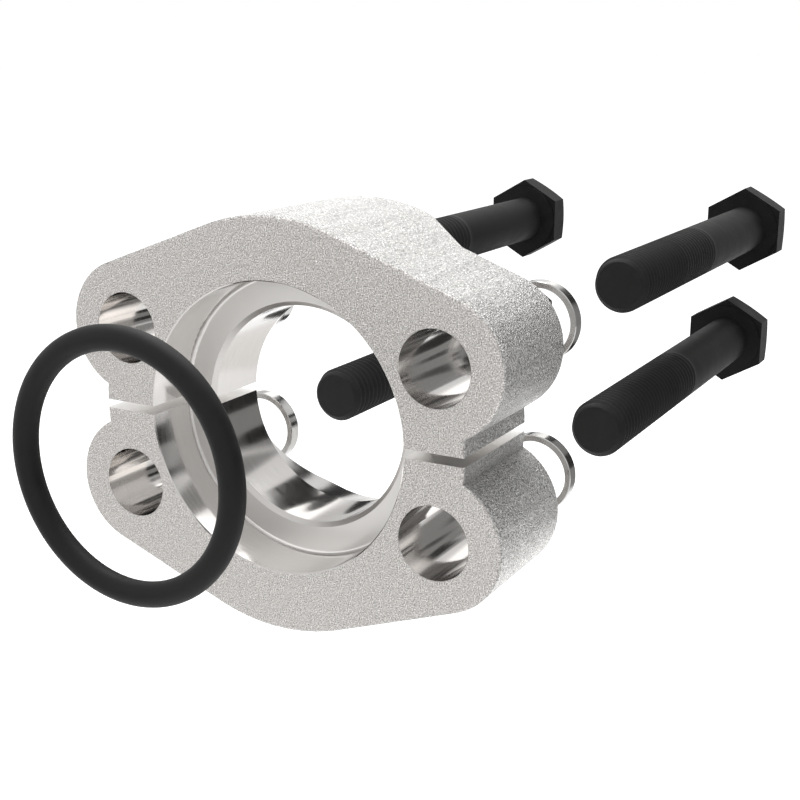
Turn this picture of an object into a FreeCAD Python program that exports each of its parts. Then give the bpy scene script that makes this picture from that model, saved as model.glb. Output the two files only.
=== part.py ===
# Split flange clamp set: two clamp halves, four bolts, four lock washers and one O-ring.
# The origin is the bore's centre on the port face. +X runs along the split, +Y along the bore
# from the port face to the bolt heads, +Z across the split. Sizes are in millimetres.
import FreeCAD, Part
import math
import os

from FreeCAD import Vector

os.makedirs("parts", exist_ok=True)

# Bolting pattern of the flange size
bolt_spacing_x = 50.8
bolt_spacing_z = 23.8

# Clamp halves
lobe_radius = 9.95
hub_radius = 29.9
lobe_depth = 19.05
hub_depth = 26.4
split_gap = 1.27
bolt_hole_dia = 10.5
hole_chamfer = 0.1
edge_round = 0.5

# Recess for the flange head, and the neck bore behind it
recess_dia = 41.9
recess_depth = 8.3
recess_corner_radius = 0.5
recess_lead = 0.15
neck_bore_dia = 32.3
neck_chamfer = 0.65
neck_flare_dia = 36.0

# Shoulders that run down from the hub to the bolt seats
ramp_angle = 38.0
ramp_setback = 0.6
ramp_crest_radius = 5.0
ramp_foot_radius = 1.5

# Bolts
bolt_dia = 10.0
bolt_length = 80.0
thread_length = 43.0
thread_relief = 0.08
tip_chamfer = 0.95
head_across_flats = 16.0
head_height = 6.4
head_face_height = 0.4
head_face_margin = 0.5
head_chamfer_angle = 30.0
head_crown_share = 0.95
neck_fillet_room = 0.05

# Lock washers
washer_clearance = 0.2
washer_wall = 1.0
washer_thickness = 2.2
washer_slit = 0.8
washer_slit_skew = 20.0
washer_edge_break = 0.12

# O-ring, and where its seat lies behind the port face
o_ring_bore = 28.4
o_ring_section = 3.2
o_ring_proud = 0.5

# How far each piece is drawn back from its seat in the exploded set
washer_lift = 14.0
bolt_lift = {"upper_right": 127.25, "lower_right": 118.75, "upper_left": 120.75, "lower_left": 115.75}
o_ring_draw = 31.4
o_ring_rise = 3.3

# Worked out from the sizes above
AXIS = Vector(0, 1, 0)
lobe_x = bolt_spacing_x / 2
lobe_z = bolt_spacing_z / 2
overlap = 1.0
tolerance = 0.01
recess_radius = recess_dia / 2
neck_radius = neck_bore_dia / 2
flare_radius = neck_flare_dia / 2
bolt_radius = bolt_dia / 2
washer_inner = bolt_radius + washer_clearance
washer_outer = washer_inner + washer_wall
neck_fillet = washer_clearance - neck_fillet_room
side_signs = {"right": 1, "left": -1}
level_signs = {"upper": 1, "lower": -1}


def turned(edges, centre=Vector(0, 0, 0)):
    """Solid of revolution about +Y through the centre, from edges drawn in the XY plane."""
    face = Part.Face(Part.Wire(edges))
    solid = face.revolve(Vector(0, 0, 0), AXIS, 360)
    solid.translate(centre)
    return solid


def path(points):
    """Closed run of straight edges and arcs. A point is (x, y); an arc is ((mid), (end))."""
    edges = []
    here = Vector(points[0][0], points[0][1], 0)
    for item in points[1:] + [points[0]]:
        if isinstance(item[0], tuple):
            middle = Vector(item[0][0], item[0][1], 0)
            end = Vector(item[1][0], item[1][1], 0)
            edges.append(Part.Arc(here, middle, end).toShape())
        else:
            end = Vector(item[0], item[1], 0)
            edges.append(Part.LineSegment(here, end).toShape())
        here = end
    return edges


def flank_normal():
    """Outward normal of the tangent line shared by the hub circle and the right lobe circle."""
    reach = math.hypot(lobe_x, lobe_z)
    turn = math.atan2(lobe_z, lobe_x) + math.acos((hub_radius - lobe_radius) / reach)
    return Vector(math.cos(turn), 0, math.sin(turn))


def blank():
    """Forged outline of the upper half at full hub depth: hub disc, two lobes, straight flanks."""
    normal = flank_normal()
    on_hub = normal * hub_radius
    on_lobe = Vector(lobe_x, 0, lobe_z) + normal * lobe_radius
    body = Part.makeCylinder(hub_radius, hub_depth, Vector(0, 0, 0), AXIS)
    for sign in side_signs.values():
        lobe_centre = Vector(sign * lobe_x, 0, lobe_z)
        body = body.fuse(Part.makeCylinder(lobe_radius, hub_depth, lobe_centre, AXIS))
        corners = [Vector(0, 0, 0), lobe_centre]
        corners += [Vector(sign * on_lobe.x, 0, on_lobe.z), Vector(sign * on_hub.x, 0, on_hub.z)]
        web = Part.Face(Part.makePolygon(corners + corners[:1]))
        body = body.fuse(web.extrude(AXIS * hub_depth))
    return body.removeSplitter()


def ramp_cutter(sign):
    """Waste above one bolt seat and its ramp, as a profile drawn along the flank and swept
    square to it."""
    normal = flank_normal()
    slope = math.radians(ramp_angle)
    crest = ramp_setback
    foot = crest + (hub_depth - lobe_depth) / math.tan(slope)
    crest_run = ramp_crest_radius * math.tan(slope / 2)
    foot_run = ramp_foot_radius * math.tan(slope / 2)
    far = bolt_spacing_x + hub_radius
    above = hub_depth + overlap

    def on_slope(start, distance):
        return (start[0] + distance * math.cos(slope), start[1] - distance * math.sin(slope))

    crest_middle = (crest - crest_run + ramp_crest_radius * math.sin(slope / 2),
                    hub_depth - ramp_crest_radius * (1 - math.cos(slope / 2)))
    foot_middle = (foot + foot_run - ramp_foot_radius * math.sin(slope / 2),
                   lobe_depth + ramp_foot_radius * (1 - math.cos(slope / 2)))
    profile = path([
        (crest - crest_run, above),
        (crest - crest_run, hub_depth),
        (crest_middle, on_slope((crest, hub_depth), crest_run)),
        on_slope((foot, lobe_depth), -foot_run),
        (foot_middle, (foot + foot_run, lobe_depth)),
        (far, lobe_depth),
        (far, above)])
    face = Part.Face(Part.Wire(profile))
    # The profile's x runs along the flank, away from the hub, and the sweep runs along its normal.
    along = Vector(sign * normal.z, 0, -normal.x)
    across = along.cross(AXIS)
    frame = FreeCAD.Matrix(along.x, 0, across.x, 0,
                           along.y, 1, across.y, 0,
                           along.z, 0, across.z, 0,
                           0, 0, 0, 1)
    face = face.transformGeometry(frame)
    face.translate(across * -far)
    return face.extrude(across * (2 * far))


def bore_cutter():
    """Flange-head recess with a filleted corner, chamfered neck bore, and flare behind the seats."""
    flare_slope = (flare_radius - neck_radius) / (hub_depth - lobe_depth)
    corner = recess_corner_radius
    bend = corner * (1 - math.sqrt(0.5))
    return turned(path([
        (0, -overlap),
        (recess_radius + recess_lead + overlap, -overlap),
        (recess_radius, recess_lead),
        (recess_radius, recess_depth - corner),
        ((recess_radius - bend, recess_depth - bend), (recess_radius - corner, recess_depth)),
        (neck_radius + neck_chamfer, recess_depth),
        (neck_radius, recess_depth + neck_chamfer),
        (neck_radius, lobe_depth),
        (flare_radius + flare_slope * overlap, hub_depth + overlap),
        (0, hub_depth + overlap)]))


def bolt_hole_cutter(centre):
    """Through hole with a small chamfer at the port face and at the bolt seat."""
    radius = bolt_hole_dia / 2
    return turned(path([
        (0, -overlap),
        (radius + hole_chamfer + overlap, -overlap),
        (radius, hole_chamfer),
        (radius, lobe_depth - hole_chamfer),
        (radius + hole_chamfer + overlap, lobe_depth + overlap),
        (0, lobe_depth + overlap)]), centre)


def port_face_edges(body):
    """Edges where the forged side walls meet the port face."""
    edges = []
    for edge in body.Edges:
        box = edge.BoundBox
        if box.YMax < tolerance:
            edges.append(edge)
    return edges


def clamp_half():
    """Upper half: blank, ramps, rounded port-face outline, bore, bolt holes and split face."""
    body = blank()
    for sign in side_signs.values():
        body = body.cut(ramp_cutter(sign))
    body = body.makeFillet(edge_round, port_face_edges(body))
    body = body.cut(bore_cutter())
    for sign in side_signs.values():
        body = body.cut(bolt_hole_cutter(Vector(sign * lobe_x, 0, lobe_z)))
    span = 2 * (bolt_spacing_x + hub_radius)
    keep = Part.makeBox(span, hub_depth + 2 * overlap, span, Vector(-span / 2, -overlap, split_gap / 2))
    return body.common(keep).Solids[0]


def bolt():
    """Hexagon head bolt with its tip at the origin and its head towards +Y."""
    core = bolt_radius - thread_relief
    face_radius = head_across_flats / 2 - head_face_margin / 2
    bend = neck_fillet * (1 - math.sqrt(0.5))
    shank = turned(path([
        (0, 0),
        (core - tip_chamfer, 0),
        (core, tip_chamfer),
        (core, thread_length - thread_relief),
        (bolt_radius, thread_length),
        (bolt_radius, bolt_length - neck_fillet),
        ((bolt_radius + bend, bolt_length - bend), (bolt_radius + neck_fillet, bolt_length)),
        (face_radius, bolt_length),
        (face_radius, bolt_length + head_face_height),
        (0, bolt_length + head_face_height)]))
    corner_radius = head_across_flats / 2 / math.cos(math.pi / 6)
    hex_base = bolt_length + head_face_height
    corners = []
    for step in range(6):
        angle = math.pi / 2 + step * math.pi / 3
        corners.append(Vector(corner_radius * math.cos(angle), hex_base, corner_radius * math.sin(angle)))
    hexagon = Part.Face(Part.makePolygon(corners + corners[:1]))
    head = hexagon.extrude(AXIS * (head_height - head_face_height))
    # A cone about the axis trims the six corners at the head's top.
    top = bolt_length + head_height
    flat_radius = head_across_flats / 2 * head_crown_share
    fall = math.tan(math.radians(head_chamfer_angle))
    reach = corner_radius + overlap
    trim = turned(path([
        (0, hex_base - overlap),
        (reach, hex_base - overlap),
        (reach, top - (reach - flat_radius) * fall),
        (flat_radius, top),
        (0, top)]))
    return shank.fuse(head.common(trim)).removeSplitter().Solids[0]


def washer():
    """Spring lock washer lying on the XZ plane, with its slit on the side away from +X."""
    top = washer_thickness
    step = washer_edge_break
    ring = turned(path([
        (washer_inner, step),
        (washer_inner + step, 0),
        (washer_outer - step, 0),
        (washer_outer, step),
        (washer_outer, top - step),
        (washer_outer - step, top),
        (washer_inner + step, top),
        (washer_inner, top - step)]))
    reach = washer_thickness + overlap
    slit = Part.makeBox(washer_outer, washer_thickness + 2 * reach, washer_slit,
                        Vector(-washer_outer - overlap, -reach, -washer_slit / 2))
    slit.rotate(Vector(0, washer_thickness / 2, 0), Vector(1, 0, 0), washer_slit_skew)
    return ring.cut(slit).Solids[0]


def o_ring():
    """O-ring drawn back in front of the port face, a little above the bore's axis."""
    ring_radius = (o_ring_bore + o_ring_section) / 2
    seat = o_ring_section / 2 - o_ring_proud
    centre = Vector(0, seat - o_ring_draw, o_ring_rise)
    return Part.makeTorus(ring_radius, o_ring_section / 2, centre, AXIS)


def placed(shape, place):
    copy = shape.copy()
    copy.translate(place)
    return copy


def save(name, shape):
    shape.exportStep("parts/" + name + ".step")
    print(name, round(shape.Volume / 1000, 3), "cm3", "valid" if shape.isValid() else "NOT VALID")


upper_half = clamp_half()
lower_half = upper_half.copy()
lower_half.rotate(Vector(0, 0, 0), AXIS, 180)
save("upper_half", upper_half)
save("lower_half", lower_half)
save("o_ring", o_ring())

bolt_shape = bolt()
washer_shape = washer()
bolt_seat = lobe_depth + washer_thickness - bolt_length
for level, level_sign in level_signs.items():
    for side, side_sign in side_signs.items():
        corner = level + "_" + side
        x = side_sign * lobe_x
        z = level_sign * lobe_z
        save("washer_" + corner, placed(washer_shape, Vector(x, lobe_depth + washer_lift, z)))
        save("bolt_" + corner, placed(bolt_shape, Vector(x, bolt_seat + bolt_lift[corner], z)))
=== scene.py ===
# Looks for the split flange clamp set: blasted and machined steel halves, black threaded bolts,
# bright lock washers and a matte rubber ring, on a white ground. Lengths are in metres.
import math

import bmesh
import bpy
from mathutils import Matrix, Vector


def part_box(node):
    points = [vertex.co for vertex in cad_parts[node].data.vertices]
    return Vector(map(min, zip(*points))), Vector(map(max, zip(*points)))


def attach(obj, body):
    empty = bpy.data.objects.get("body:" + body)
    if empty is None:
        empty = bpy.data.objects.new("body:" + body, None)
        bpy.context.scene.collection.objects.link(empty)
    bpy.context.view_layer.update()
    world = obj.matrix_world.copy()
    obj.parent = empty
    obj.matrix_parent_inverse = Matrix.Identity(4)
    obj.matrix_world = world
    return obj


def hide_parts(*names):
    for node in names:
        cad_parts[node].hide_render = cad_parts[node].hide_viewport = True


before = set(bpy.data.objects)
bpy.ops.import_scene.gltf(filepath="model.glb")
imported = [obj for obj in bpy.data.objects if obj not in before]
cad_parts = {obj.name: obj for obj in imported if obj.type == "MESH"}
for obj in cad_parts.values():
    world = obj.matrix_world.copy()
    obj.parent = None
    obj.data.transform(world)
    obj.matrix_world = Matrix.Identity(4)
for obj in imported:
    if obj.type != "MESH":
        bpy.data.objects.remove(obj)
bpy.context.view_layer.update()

MM = 0.001
CORNERS = [level + "_" + side for level in ("upper", "lower") for side in ("right", "left")]

# Places read from the solids
half_low, half_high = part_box("upper_half")
bolt_low, bolt_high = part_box("bolt_upper_right")
HUB_DEPTH = half_high.y
SPLIT_HALF_GAP = half_low.z
HOLE_X = (bolt_low.x + bolt_high.x) / 2
HOLE_Z = (bolt_low.z + bolt_high.z) / 2
BOLT_HEIGHT = bolt_high.y - bolt_low.y

# Sizes shared with the solids
LOBE_DEPTH = 19.05 * MM
RECESS_RADIUS = 20.95 * MM
RECESS_DEPTH = 8.3 * MM
RECESS_CORNER = 0.5 * MM
NECK_RADIUS = 16.15 * MM
NECK_CHAMFER = 0.65 * MM
NECK_FLARE_RADIUS = 18.0 * MM
HOLE_RADIUS = 5.25 * MM
BOLT_RADIUS = 5.0 * MM
BOLT_LENGTH = 80.0 * MM
THREAD_LENGTH = 43.0 * MM
THREAD_PITCH = 1.5 * MM
HEAD_FLATS = 16.0 * MM
HEAD_FACE_HEIGHT = 0.4 * MM
HEAD_FACE_MARGIN = 0.5 * MM
HEAD_CROWN_SHARE = 0.95
HEAD_CROWN_ANGLE = math.radians(30)
TIP_CHAMFER = 0.95 * MM
NECK_FILLET = 0.15 * MM

# Thread and mesh fineness
THREAD_DEPTH = 0.45 * MM
THREAD_FADE = 1.5 * THREAD_PITCH
THREAD_TURNS = math.ceil(THREAD_LENGTH / THREAD_PITCH) + 2
ROWS_PER_TURN = 4
FIRST_THREAD_ROW = 2
LAST_THREAD_ROW = FIRST_THREAD_ROW + ROWS_PER_TURN * THREAD_TURNS - 1
COLUMNS = 72
FILLET_STEPS = 6
RING_AROUND = 288
RING_ACROSS = 40
MERGE_DISTANCE = 0.0005 * MM

# How far the machined looks reach past the surfaces that they belong to. The last two are shares of
# the recess corner and of the neck chamfer
HOLE_MARGIN = 0.02 * MM
SPLIT_MARGIN = 0.02 * MM
NECK_MARGIN = 0.04 * MM
RECESS_MARGIN = 0.17 * MM
SHOULDER_MARGIN = 0.7 * MM
CORNER_REACH = 1.1
CHAMFER_REACH = 1.02

# How squarely a surface faces along Y to count as the shoulder, and below what it counts as a side
SHOULDER_FACING = 0.9
SIDE_FACING = 0.6

# Tones of the metals, as stops of place and colour over a noise
FACE_SKIN = [(0.30, (0.18, 0.17, 0.16)), (0.50, (0.50, 0.48, 0.465)), (0.70, (0.92, 0.895, 0.875))]
SIDE_SKIN = [(0.38, (0.16, 0.158, 0.156)), (0.49, (0.495, 0.49, 0.482)), (0.61, (0.92, 0.91, 0.90))]
PATCH_TONE = (0.50, 0.48, 0.465, 1)
TURNED_STEEL = [(0.3, (0.56, 0.545, 0.53)), (0.7, (0.60, 0.58, 0.565))]
# Recess floor: the machined steel's colour brightened with painted light, lighter than the turned steel
SHOULDER_TONE_WITH_PAINTED_LIGHT = (0.72, 0.705, 0.69, 1)
# Split faces: the machined steel's colour brightened with painted light, much lighter than steel reflects
SPLIT_TONE_WITH_PAINTED_LIGHT = (0.88, 0.865, 0.85, 1)
WASHER_STEEL = [(0.3, (0.47, 0.465, 0.455)), (0.7, (0.55, 0.545, 0.535))]
WHITE = (1, 1, 1, 1)
FLOOR_TONE = (0.9, 0.9, 0.9, 1)
CARD_TONE = (1, 0.99, 0.975, 1)
RUBBER_BLACK = [(0.3, 0.009), (0.7, 0.014)]
PATCH_STRENGTH = 0.12
FACE_DRAW_SHARE = 0.14
SIDE_DRAW_SHARE = 0.1
SKIN_METAL = 0.9

# Roughness, as stops over a noise where it varies
FACE_ROUGH = [(0.3, 0.44), (0.7, 0.26)]
SIDE_ROUGH = [(0.3, 0.40), (0.7, 0.22)]
TURNED_ROUGH = [(0.3, 0.09), (0.7, 0.13)]
SHOULDER_ROUGH = 0.38
EDGE_ROUGH = 0.3
SPLIT_ROUGH = 0.32
WASHER_ROUGH = [(0.3, 0.12), (0.7, 0.2)]
RUBBER_ROUGH = [(0.3, 0.50), (0.7, 0.62)]
OXIDE_ROUGH_SPREAD = 0.06

# Bumps, in metres
SKIN_BUMP = 0.19 * MM
WASHER_BUMP = 0.002 * MM
BOLT_BUMP = 0.015 * MM
RUBBER_BUMP = 0.012 * MM

# Heights within the skin's bump, as shares of it
GRAIN_RELIEF = 0.6
PIT_RELIEF = 0.4
SIDE_RELIEF = 1.9
TURNED_RELIEF = 0.006

# Scales of the noises, in cells to the metre
GRAIN = 5600
PITS = 2400
PATCHES = 60
DRAW_LINES = 1300
SIDE_GRAIN = 5000
TOOL_MARKS = 4200
ROLL_MARKS = 5200
OXIDE_BLOTCH = 350
OXIDE_MARKS = 6000
OXIDE_GRAIN = 5200
RUBBER_BLOOM = 420
RUBBER_GRAIN = 6500
# Metres that a radian round the bore counts for in the tool marks, so that they run round it
TOOL_MARKS_TURN = 0.0012

# Cards round the set that only mirrors show. Each stands in a direction from the set, in degrees from
# +Y towards +X and above the horizon. Azimuth, elevation, width and height in degrees, strength, distance
FAR_CARDS = {
    "back_softbox": (-20, 25, 34, 14, 1.8, 0.5),
    "top_softbox": (-6, 50.5, 66, 23, 3.2, 0.5),
    "left_softbox": (-30, 35, 24, 20, 2.6, 0.5),
    "right_edge_flag": (45, 6, 9, 60, 0.12, 0.5),
    "side_flag": (82, 5, 62, 90, 0.2, 0.5),
    "left_flag": (-40, 5, 16, 30, 0.75, 0.5),
    "low_left_flag": (-26, -16, 24, 18, 0.68, 0.5),
    "front_grey": (-150, -13, 70, 32, 0.78, 0.2),
}
# Small upright cards behind the set, also for mirrors only. Reach in x, y, and reach in z, in mm,
# then strength and the share of the card that fades out towards its edges
NEAR_CARDS = {
    "right_flag": ((33, 84), 62, (-33, 54), 0.32, 0.15),
    "recess_flag": ((27, 54), 100, (37, 76), 0.33, 0.15),
    "upper_right_flag": ((29, 40), 58, (12, 26), 0.04, 0.15),
    "lower_right_flag": ((29, 46), 58, (-13, -1), 0.04, 0.2),
    "upper_hole_streak": ((40, 52), 61, (-13, -3), 0.06, 0.5),
    "middle_hole_streak": ((28, 54), 61, (22, 32), 0.1, 0.4),
    "lower_hole_streak": ((44, 55), 61, (5, 12), 0.08, 0.5),
    "upper_left_flag": ((-24, -4), 62, (14, 29), 0.0, 0.1),
    "middle_flag": ((20, 62), 92, (-25, 34), 0.3, 0.2),
    "flare_grey": ((-24, 12), 62, (-42, -16), 1.13, 0.3),
    "low_right_glow": ((14, 84), 62, (-84, -32), 1.85, 0.3),
}
FAR_CARD_FADE = 0.3
FLOOR_REACH = 8.0


class Graph:
    """Short names for building the node tree of a material or of the world."""

    def __init__(self, owner):
        self.owner = owner
        owner.use_nodes = True
        self.nodes = owner.node_tree.nodes
        self.links = owner.node_tree.links

    def put(self, socket, value):
        if isinstance(value, bpy.types.NodeSocket):
            self.links.new(value, socket)
        else:
            socket.default_value = value

    def coordinates(self, kind):
        return self.nodes.new("ShaderNodeTexCoord").outputs[kind]

    def ray_kinds(self):
        return self.nodes.new("ShaderNodeLightPath").outputs

    def math(self, operation, *values, clamp=False):
        node = self.nodes.new("ShaderNodeMath")
        node.operation = operation
        node.use_clamp = clamp
        for socket, value in zip(node.inputs, values):
            self.put(socket, value)
        return node.outputs[0]

    def length(self, first, second):
        """Length of a vector with these two components."""
        first_square = self.math("MULTIPLY", first, first)
        second_square = self.math("MULTIPLY", second, second)
        return self.math("SQRT", self.math("ADD", first_square, second_square))

    def blend(self, first, first_share, second, second_share):
        """Sum of two values, each times its share."""
        return self.math("ADD", self.math("MULTIPLY", first, first_share),
                         self.math("MULTIPLY", second, second_share))

    def split(self, vector):
        node = self.nodes.new("ShaderNodeSeparateXYZ")
        self.put(node.inputs[0], vector)
        return node.outputs

    def join(self, x, y, z):
        node = self.nodes.new("ShaderNodeCombineXYZ")
        for socket, value in zip(node.inputs, (x, y, z)):
            self.put(socket, value)
        return node.outputs[0]

    def scaled(self, vector, scale):
        node = self.nodes.new("ShaderNodeMapping")
        self.put(node.inputs["Vector"], vector)
        node.inputs["Scale"].default_value = scale
        return node.outputs[0]

    def noise(self, vector, scale, detail=2.0, roughness=0.5):
        node = self.nodes.new("ShaderNodeTexNoise")
        self.put(node.inputs["Vector"], vector)
        node.inputs["Scale"].default_value = scale
        node.inputs["Detail"].default_value = detail
        node.inputs["Roughness"].default_value = roughness
        return node.outputs[0]

    def ramp(self, value, stops):
        """Tone over a value. A stop's tone is one grey or three shares."""
        node = self.nodes.new("ShaderNodeValToRGB")
        self.put(node.inputs[0], value)
        elements = node.color_ramp.elements
        while len(elements) < len(stops):
            elements.new(0.5)
        for element, (place, tone) in zip(elements, stops):
            element.position = place
            element.color = (*tone, 1) if isinstance(tone, tuple) else (tone, tone, tone, 1)
        return node.outputs[0]

    def mix(self, share, first, second, kind="RGBA"):
        node = self.nodes.new("ShaderNodeMix")
        node.data_type = kind
        ending = {"RGBA": "_Color", "FLOAT": "_Float"}[kind]
        sockets = {socket.identifier: socket for socket in node.inputs}
        self.put(sockets["Factor_Float"], share)
        self.put(sockets["A" + ending], first)
        self.put(sockets["B" + ending], second)
        return next(socket for socket in node.outputs if socket.identifier == "Result" + ending)

    def bump(self, height, distance):
        node = self.nodes.new("ShaderNodeBump")
        node.inputs["Strength"].default_value = 1.0
        node.inputs["Distance"].default_value = distance
        self.put(node.inputs["Height"], height)
        return node.outputs[0]


class Finish(Graph):
    """Material whose sockets are named by what they do."""

    def __init__(self, name):
        super().__init__(bpy.data.materials.new(name))
        self.shader = self.nodes["Principled BSDF"]

    def set(self, name, value):
        self.put(self.shader.inputs[name], value)


def set_camera():
    """Camera at the photograph's place, with a lens for a sensor 36 mm wide and a square picture."""
    data = bpy.data.cameras.new("camera")
    data.lens = 57.48
    data.sensor_width = 36.0
    data.clip_start = 0.005
    data.clip_end = 50.0
    camera = bpy.data.objects.new("camera", data)
    camera.location = (0.09882, -0.13977, 0.05130)
    camera.rotation_euler = (math.radians(74.61), 0, math.radians(29.27))
    bpy.context.scene.collection.objects.link(camera)
    bpy.context.scene.camera = camera
    bpy.context.scene.view_settings.view_transform = "Standard"


def neck_reach(g, y):
    """Radius of the neck bore at a depth. It flares behind the lobes."""
    behind_lobes = g.math("MAXIMUM", g.math("SUBTRACT", y, LOBE_DEPTH), 0.0)
    slope = (NECK_FLARE_RADIUS - NECK_RADIUS) / (HUB_DEPTH - LOBE_DEPTH)
    return g.math("MULTIPLY_ADD", behind_lobes, slope, NECK_RADIUS + NECK_MARGIN)


def steel_zones(g, x, y, z, normal_y):
    """Masks of all that is machined, and in it of the recess floor, its turned edges and the split."""
    from_bore = g.length(x, z)
    from_hole = g.length(g.math("SUBTRACT", g.math("ABSOLUTE", x), HOLE_X),
                         g.math("SUBTRACT", g.math("ABSOLUTE", z), HOLE_Z))
    in_hole = g.math("LESS_THAN", from_hole, HOLE_RADIUS + HOLE_MARGIN)
    in_neck = g.math("LESS_THAN", from_bore, neck_reach(g, y))
    in_recess = g.math("MULTIPLY", g.math("LESS_THAN", from_bore, RECESS_RADIUS + RECESS_MARGIN),
                       g.math("LESS_THAN", y, RECESS_DEPTH + SHOULDER_MARGIN))
    in_bore = g.math("MAXIMUM", in_neck, in_recess)
    at_split = g.math("LESS_THAN", g.math("ABSOLUTE", z), SPLIT_HALF_GAP + SPLIT_MARGIN)
    machined = g.math("MAXIMUM", g.math("MAXIMUM", in_hole, in_bore), at_split)

    on_shoulder = g.math("MULTIPLY", in_recess, g.math("GREATER_THAN", normal_y, SHOULDER_FACING))
    from_shoulder = g.math("SUBTRACT", y, RECESS_DEPTH)
    from_corner = g.length(g.math("SUBTRACT", from_bore, RECESS_RADIUS), from_shoulder)
    from_neck = g.length(g.math("SUBTRACT", from_bore, NECK_RADIUS), from_shoulder)
    turned_edge = g.math("MAXIMUM", g.math("LESS_THAN", from_corner, RECESS_CORNER * CORNER_REACH),
                         g.math("LESS_THAN", from_neck, NECK_CHAMFER * CHAMFER_REACH))
    return machined, on_shoulder, turned_edge, at_split


def blasted_skin(g, place, on_side):
    """Tone, roughness and height of the forged and blasted outside, with deeper grain on the sides."""
    grain = g.noise(place, GRAIN, detail=1, roughness=0.6)
    pits = g.noise(place, PITS)
    patches = g.noise(place, PATCHES, detail=3)
    draw_lines = g.noise(g.scaled(place, (1.0, 0.03, 1.0)), DRAW_LINES, roughness=0.6)
    side_grain = g.noise(g.scaled(place, (1.0, 0.75, 1.0)), SIDE_GRAIN, roughness=0.7)
    face_mix = g.blend(grain, 1 - FACE_DRAW_SHARE, draw_lines, FACE_DRAW_SHARE)
    side_mix = g.blend(side_grain, 1 - SIDE_DRAW_SHARE, draw_lines, SIDE_DRAW_SHARE)
    tone = g.mix(on_side, g.ramp(face_mix, FACE_SKIN), g.ramp(side_mix, SIDE_SKIN))
    tone = g.mix(g.math("MULTIPLY", patches, PATCH_STRENGTH), tone, PATCH_TONE)
    rough = g.mix(on_side, g.ramp(grain, FACE_ROUGH), g.ramp(side_grain, SIDE_ROUGH))
    face_height = g.blend(grain, GRAIN_RELIEF, pits, PIT_RELIEF)
    side_height = g.math("MULTIPLY", side_grain, SIDE_RELIEF)
    return tone, rough, g.mix(on_side, face_height, side_height, kind="FLOAT")


def turned_steel(g, x, y, z, on_shoulder, turned_edge, at_split):
    """Tone, roughness and height of the machined surfaces, with tool marks that run round the bore. The
    recess floor and the split faces get lighter tones that are painted light.
    """
    around = g.math("MULTIPLY", g.math("ARCTAN2", z, x), TOOL_MARKS_TURN)
    tool_marks = g.noise(g.join(around, y, g.length(x, z)), TOOL_MARKS, roughness=0.6)
    # Painted light: the recess floor gets a lighter copy of the machined steel's tone
    tone = g.mix(on_shoulder, g.ramp(tool_marks, TURNED_STEEL), SHOULDER_TONE_WITH_PAINTED_LIGHT)
    # Painted light: the split faces get a lighter copy of the machined steel's tone
    tone = g.mix(at_split, tone, SPLIT_TONE_WITH_PAINTED_LIGHT)
    rough = g.ramp(tool_marks, TURNED_ROUGH)
    rough = g.mix(on_shoulder, rough, SHOULDER_ROUGH, kind="FLOAT")
    rough = g.mix(turned_edge, rough, EDGE_ROUGH, kind="FLOAT")
    rough = g.mix(at_split, rough, SPLIT_ROUGH, kind="FLOAT")
    return tone, rough, g.math("MULTIPLY", tool_marks, TURNED_RELIEF)


def forged_steel():
    """Grainy blasted skin outside, and machined surfaces in the holes, the bore and the split."""
    g = Finish("forged_steel")
    place = g.coordinates("Object")
    x, y, z = g.split(place)
    normal_y = g.math("ABSOLUTE", g.split(g.coordinates("Normal"))[1])
    machined, on_shoulder, turned_edge, at_split = steel_zones(g, x, y, z, normal_y)
    on_side = g.math("LESS_THAN", normal_y, SIDE_FACING)
    skin, skin_rough, skin_height = blasted_skin(g, place, on_side)
    turned, turned_rough, turned_height = turned_steel(g, x, y, z, on_shoulder, turned_edge, at_split)
    g.set("Base Color", g.mix(machined, skin, turned))
    g.set("Metallic", g.mix(machined, SKIN_METAL, 1.0, kind="FLOAT"))
    g.set("Roughness", g.mix(machined, skin_rough, turned_rough))
    height = g.blend(skin_height, g.math("SUBTRACT", 1.0, machined), turned_height, machined)
    g.set("Normal", g.bump(height, SKIN_BUMP))
    return g.owner


def washer_steel():
    """Bright plated steel with faint rolling marks round the ring."""
    g = Finish("washer_steel")
    marks = g.noise(g.scaled(g.coordinates("Object"), (0.1, 1.0, 0.1)), ROLL_MARKS)
    g.set("Base Color", g.ramp(marks, WASHER_STEEL))
    g.set("Metallic", 1.0)
    g.set("Roughness", g.ramp(marks, WASHER_ROUGH))
    g.set("Normal", g.bump(marks, WASHER_BUMP))
    return g.owner


def black_oxide(name, dark, light, sheen, rough):
    """Black oxide over turned steel, with a slight oily sheen and fine turning marks."""
    g = Finish(name)
    place = g.coordinates("Object")
    blotch = g.noise(place, OXIDE_BLOTCH, detail=4, roughness=0.6)
    marks = g.noise(g.scaled(place, (0.05, 1.0, 0.05)), OXIDE_MARKS)
    fine = g.noise(place, OXIDE_GRAIN)
    g.set("Base Color", g.ramp(blotch, [(0.3, dark), (0.7, light)]))
    g.set("Specular IOR Level", sheen)
    rough_stops = [(0.3, rough - OXIDE_ROUGH_SPREAD), (0.7, rough + OXIDE_ROUGH_SPREAD)]
    g.set("Roughness", g.ramp(blotch, rough_stops))
    g.set("Normal", g.bump(g.blend(marks, 0.5, fine, 0.5), BOLT_BUMP))
    return g.owner


def ring_rubber():
    """Matte moulded nitrile with a fine bloom."""
    g = Finish("ring_rubber")
    place = g.coordinates("Object")
    bloom = g.noise(place, RUBBER_BLOOM, detail=4, roughness=0.6)
    fine = g.noise(place, RUBBER_GRAIN)
    g.set("Base Color", g.ramp(bloom, RUBBER_BLACK))
    g.set("Specular IOR Level", 0.18)
    g.set("Roughness", g.ramp(bloom, RUBBER_ROUGH))
    g.set("Normal", g.bump(fine, RUBBER_BUMP))
    return g.owner


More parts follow.
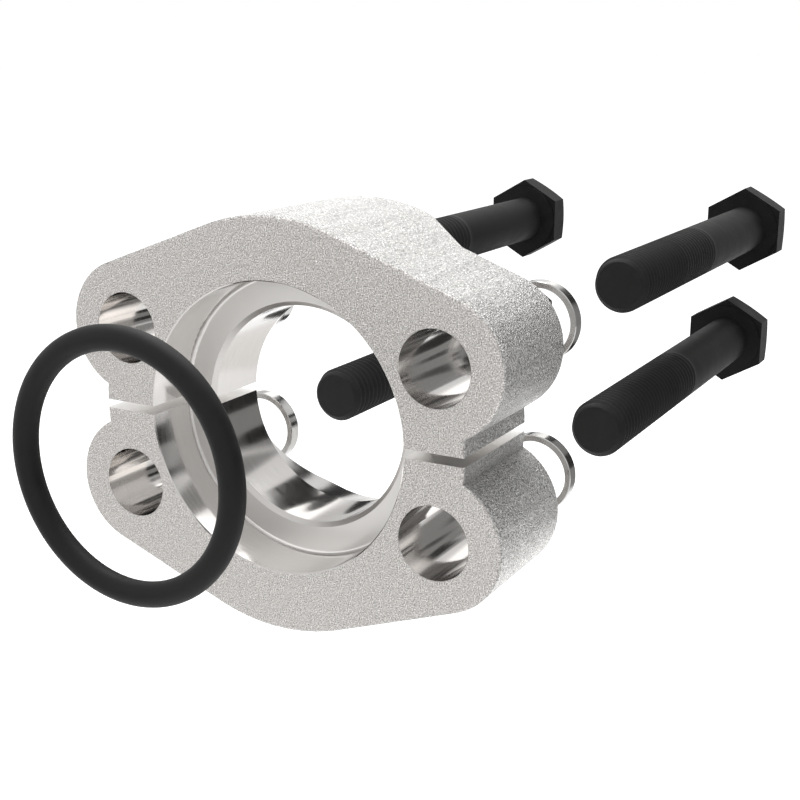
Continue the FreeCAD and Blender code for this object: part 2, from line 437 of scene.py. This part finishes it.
def merge_doubles(mesh):
    """Joins points that lie together, so that rows which close up leave no empty faces."""
    work = bmesh.new()
    work.from_mesh(mesh)
    bmesh.ops.remove_doubles(work, verts=work.verts, dist=MERGE_DISTANCE)
    work.to_mesh(mesh)
    work.free()


def mesh_object(name, vertices, faces, material, sharp_degrees=30):
    """Smooth shaded mesh in one material, with its edges sharp past an angle."""
    mesh = bpy.data.meshes.new(name)
    mesh.from_pydata(vertices, [], faces)
    merge_doubles(mesh)
    mesh.validate()
    mesh.materials.append(material)
    for polygon in mesh.polygons:
        polygon.use_smooth = True
    mesh.set_sharp_from_angle(angle=math.radians(sharp_degrees))
    obj = bpy.data.objects.new(name, mesh)
    bpy.context.scene.collection.objects.link(obj)
    return obj


def thread_profile():
    """Offsets along the axis and radii of one turn of thread: crest, flank, root, flank."""
    root = BOLT_RADIUS - THREAD_DEPTH
    return [(0, BOLT_RADIUS), (THREAD_PITCH / 8, BOLT_RADIUS),
            (THREAD_PITCH * 7 / 16, root), (THREAD_PITCH * 11 / 16, root)]


def shank_radius(y, radius):
    """Thread radius at a height, trimmed by the tip chamfer and faded out into the plain shank."""
    tip = BOLT_RADIUS - TIP_CHAMFER + y
    fade = min(1.0, max(0.0, (THREAD_LENGTH - y) / THREAD_FADE))
    return min(tip, BOLT_RADIUS + (radius - BOLT_RADIUS) * fade)


def even_ring(height, radius):
    """Ring at one height and radius all the way round."""
    return [(height, radius)] * COLUMNS


def column_angle(column):
    """Angle round the bolt's axis at a column of points."""
    return column / COLUMNS * 2 * math.pi


def thread_rings():
    """Rings of the thread, each of which climbs by one pitch on its way round."""
    rings = []
    for turn in range(-1, THREAD_TURNS - 1):
        for offset, radius in thread_profile():
            ring = []
            for column in range(COLUMNS):
                y = THREAD_PITCH * (turn + column / COLUMNS) + offset
                y = min(max(y, 0.0), THREAD_LENGTH)
                ring.append((y, shank_radius(y, radius)))
            rings.append(ring)
    return rings


def fillet_rings():
    """Rings of the fillet from the plain shank out to the head's washer face."""
    rings = []
    for step in range(FILLET_STEPS + 1):
        angle = step / FILLET_STEPS * math.pi / 2
        rings.append(even_ring(BOLT_LENGTH - NECK_FILLET + NECK_FILLET * math.sin(angle),
                               BOLT_RADIUS + NECK_FILLET * (1 - math.cos(angle))))
    return rings


def head_rings():
    """Rings of the washer face, the hexagon and the crown chamfer, up to the middle of the top."""
    face_radius = HEAD_FLATS / 2 - HEAD_FACE_MARGIN / 2
    crown_radius = HEAD_FLATS / 2 * HEAD_CROWN_SHARE
    base = BOLT_LENGTH + HEAD_FACE_HEIGHT
    hexagon = []
    crown_edge = []
    for column in range(COLUMNS):
        off_flat = (column_angle(column) % (math.pi / 3)) - math.pi / 6
        out = HEAD_FLATS / 2 / math.cos(off_flat)
        hexagon.append((base, out))
        crown_edge.append((BOLT_HEIGHT - (out - crown_radius) * math.tan(HEAD_CROWN_ANGLE), out))
    return [even_ring(BOLT_LENGTH, face_radius), even_ring(base, face_radius), hexagon, crown_edge,
            even_ring(BOLT_HEIGHT, crown_radius), even_ring(BOLT_HEIGHT, 0.0)]


def bolt_rings():
    """Rings of height and radius at each column's angle, from the tip up to the top of the head."""
    tip = [even_ring(0.0, 0.0), even_ring(0.0, BOLT_RADIUS - TIP_CHAMFER)]
    return tip + thread_rings() + [even_ring(THREAD_LENGTH, BOLT_RADIUS)] + fillet_rings() + head_rings()


def row_past_seam(row):
    """Row that meets this one past the last column, where the thread has climbed by one turn."""
    if FIRST_THREAD_ROW <= row <= LAST_THREAD_ROW:
        return min(row + ROWS_PER_TURN, LAST_THREAD_ROW)
    return row


def bolt_face(row, column):
    """Corners of the face between two rows and two columns, as seen from outside."""
    below = row * COLUMNS + column
    above = below + COLUMNS
    if column + 1 < COLUMNS:
        return (below, above, above + 1, below + 1)
    return (below, above, row_past_seam(row + 1) * COLUMNS, row_past_seam(row) * COLUMNS)


def build_bolt(corner, rings, material, thread_material):
    """Threaded bolt in place of the plain solid."""
    low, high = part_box("bolt_" + corner)
    centre_x = (low.x + high.x) / 2
    centre_z = (low.z + high.z) / 2
    vertices = []
    for ring in rings:
        for column, (height, radius) in enumerate(ring):
            angle = column_angle(column) + math.pi / 2
            vertices.append((centre_x + radius * math.cos(angle), low.y + height,
                             centre_z + radius * math.sin(angle)))
    faces = [bolt_face(row, column) for row in range(len(rings) - 1) for column in range(COLUMNS)]
    bolt = mesh_object("threaded_bolt_" + corner, vertices, faces, material)
    bolt.data.materials.append(thread_material)
    for polygon in bolt.data.polygons:
        if polygon.center.y - low.y < THREAD_LENGTH:
            polygon.material_index = 1
    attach(bolt, "bolt_" + corner)
    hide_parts("bolt_" + corner)


def build_ring(material):
    """O-ring with finer facets, in place of the plain solid."""
    low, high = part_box("o_ring")
    centre = (low + high) / 2
    cord_radius = (high.y - low.y) / 2
    mean_radius = (high.x - low.x) / 2 - cord_radius
    vertices = []
    faces = []
    for station in range(RING_AROUND):
        turn = station / RING_AROUND * 2 * math.pi
        here = station * RING_ACROSS
        ahead = (station + 1) % RING_AROUND * RING_ACROSS
        for point in range(RING_ACROSS):
            bend = point / RING_ACROSS * 2 * math.pi
            radius = mean_radius + cord_radius * math.cos(bend)
            vertices.append((centre.x + radius * math.cos(turn), centre.y + cord_radius * math.sin(bend),
                             centre.z + radius * math.sin(turn)))
            beyond = (point + 1) % RING_ACROSS
            faces.append((here + point, here + beyond, ahead + beyond, ahead + point))
    ring = mesh_object("rubber_ring", vertices, faces, material, sharp_degrees=60)
    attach(ring, "o_ring")
    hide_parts("o_ring")


def dress(node, material):
    """Gives a solid its material in every slot."""
    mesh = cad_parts[node].data
    mesh.materials.clear()
    mesh.materials.append(material)


def sheet(name, half_width, half_height, material):
    """Flat rectangle about its own origin."""
    corners = [(-half_width, -half_height, 0), (half_width, -half_height, 0),
               (half_width, half_height, 0), (-half_width, half_height, 0)]
    return mesh_object(name, corners, [(0, 1, 2, 3)], material)


def facing(location, target):
    """Rotation that points an object's -Z axis from its place to a target."""
    return (Vector(target) - Vector(location)).to_track_quat("-Z", "Y").to_euler()


def card_glow(name, strength, half_width, half_height, soft):
    """Glow that fades to clear over the soft share of the card nearest its edges."""
    g = Finish(name)
    x, y = g.split(g.coordinates("Object"))[:2]
    inside = []
    for offset, half in ((x, half_width), (y, half_height)):
        share = g.math("DIVIDE", g.math("ABSOLUTE", offset), half)
        inside.append(g.math("DIVIDE", g.math("SUBTRACT", 1.0, share), soft, clamp=True))
    glow = g.nodes.new("ShaderNodeEmission")
    glow.inputs["Color"].default_value = CARD_TONE
    glow.inputs["Strength"].default_value = strength
    clear = g.nodes.new("ShaderNodeBsdfTransparent")
    mix = g.nodes.new("ShaderNodeMixShader")
    g.put(mix.inputs[0], g.math("MULTIPLY", inside[0], inside[1]))
    g.put(mix.inputs[1], clear.outputs[0])
    g.put(mix.inputs[2], glow.outputs[0])
    g.put(g.nodes["Material Output"].inputs["Surface"], mix.outputs[0])
    g.nodes.remove(g.shader)
    return g.owner


def hang_card(name, place, target, half_width, half_height, strength, soft):
    """Card that only mirrors show, turned to a target."""
    glow = card_glow(name, strength, half_width, half_height, soft)
    obj = sheet(name, half_width, half_height, glow)
    obj.location = place
    obj.rotation_euler = facing(place, target)
    obj.visible_camera = False
    obj.visible_diffuse = False
    obj.visible_shadow = False


def far_card(name, azimuth, elevation, wide, high, strength, distance):
    """Card in a direction from the set's origin, turned to it and spanning the given degrees."""
    turn = math.radians(azimuth)
    lift = math.radians(elevation)
    flat = math.cos(lift)
    direction = Vector((math.sin(turn) * flat, math.cos(turn) * flat, math.sin(lift)))
    half_width = distance * math.tan(math.radians(wide / 2))
    half_height = distance * math.tan(math.radians(high / 2))
    hang_card(name, direction * distance, (0, 0, 0), half_width, half_height, strength, FAR_CARD_FADE)


def near_card(name, x, y, z, strength, soft):
    """Upright card at y that faces the front, over ranges of x and z, all in mm."""
    place = Vector(((x[0] + x[1]) / 2 * MM, y * MM, (z[0] + z[1]) / 2 * MM))
    ahead = place - Vector((0, 1, 0))
    hang_card(name, place, ahead, (x[1] - x[0]) / 2 * MM, (z[1] - z[0]) / 2 * MM, strength, soft)


def lamp(name, location, target, size, power):
    """Square area lamp that points to a target."""
    data = bpy.data.lights.new(name, "AREA")
    data.energy = power
    data.shape = "RECTANGLE"
    data.size = size
    data.size_y = size
    obj = bpy.data.objects.new(name, data)
    obj.location = location
    obj.rotation_euler = facing(location, target)
    bpy.context.scene.collection.objects.link(obj)


def set_world(fill):
    """White for the camera and for reflections, and a plain soft fill for everything else."""
    world = bpy.data.worlds.new("studio")
    bpy.context.scene.world = world
    g = Graph(world)
    rays = g.ray_kinds()
    seen = g.math("MAXIMUM", rays["Is Camera Ray"], rays["Is Glossy Ray"])
    seen = g.math("MAXIMUM", seen, rays["Is Transmission Ray"])
    background = g.nodes["Background"]
    background.inputs["Color"].default_value = WHITE
    g.put(background.inputs["Strength"], g.math("MULTIPLY_ADD", seen, 1.0 - fill, fill))


def set_floor(height, glow, mirror_glow):
    """White floor that shows the set's soft shadow. It adds a glow for the camera and for mirrors."""
    g = Finish("floor")
    rays = g.ray_kinds()
    seen = g.math("MULTIPLY", rays["Is Camera Ray"], glow)
    g.set("Base Color", FLOOR_TONE)
    g.set("Roughness", 1.0)
    g.set("Specular IOR Level", 0.0)
    g.set("Emission Color", WHITE)
    g.set("Emission Strength", g.math("MULTIPLY_ADD", rays["Is Glossy Ray"], mirror_glow, seen))
    floor = sheet("floor", FLOOR_REACH, FLOOR_REACH, g.owner)
    floor.location.z = height


set_camera()
steel = forged_steel()
bright = washer_steel()
black = black_oxide("black_bolt", dark=0.010, light=0.016, sheen=0.10, rough=0.58)
thread_black = black_oxide("thread_black", dark=0.018, light=0.024, sheen=0.14, rough=0.62)
rubber = ring_rubber()
dress("upper_half", steel)
dress("lower_half", steel)
rings = bolt_rings()
for corner in CORNERS:
    dress("washer_" + corner, bright)
    build_bolt(corner, rings, black, thread_black)
build_ring(rubber)

set_world(fill=0.6)
set_floor(height=-0.12, glow=0.6, mirror_glow=0.4)
lamp("overhead", (-0.10, 0.15, 0.60), (0, 0.02, 0), size=0.5, power=2.9)
lamp("fill", (-0.35, -0.60, 0.25), (0, 0.01, 0), size=0.5, power=0.5)
for name, card in FAR_CARDS.items():
    far_card(name, *card)
for name, card in NEAR_CARDS.items():
    near_card(name, *card)
